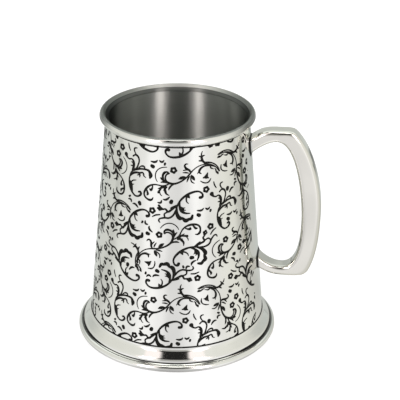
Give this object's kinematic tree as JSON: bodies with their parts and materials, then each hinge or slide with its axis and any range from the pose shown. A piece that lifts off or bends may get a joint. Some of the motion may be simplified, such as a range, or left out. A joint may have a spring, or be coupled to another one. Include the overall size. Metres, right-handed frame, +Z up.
{
  "type": "pewter tankard",
  "caption": "Lidless pewter drinking tankard with a tapered scroll-engraved body, moulded foot, turned rim and a cast open handle.",
  "frame": {"origin": "on the body's axis, in the plane of the foot's flat seat", "axes": "+Z up along the body's axis, +X towards the handle, +Y to the left of the handle seen from the mouth"},
  "size_m": [0.1303, 0.1078, 0.126],
  "materials": {
    "pewter": "polished pewter",
    "pewter_satin": "satin pewter, turned",
    "solder": "dressed solder"
  },
  "bodies": {
    "root": {"body_wall": "pewter", "side_seam_solder": "solder", "rim": "pewter", "rim_solder": "solder", "floor_disc": "pewter_satin", "floor_solder": "solder", "foot": "pewter", "foot_solder": "solder", "handle": "pewter", "handle_upper_solder": "solder", "handle_lower_solder": "solder"}
  },
  "joints": []
}
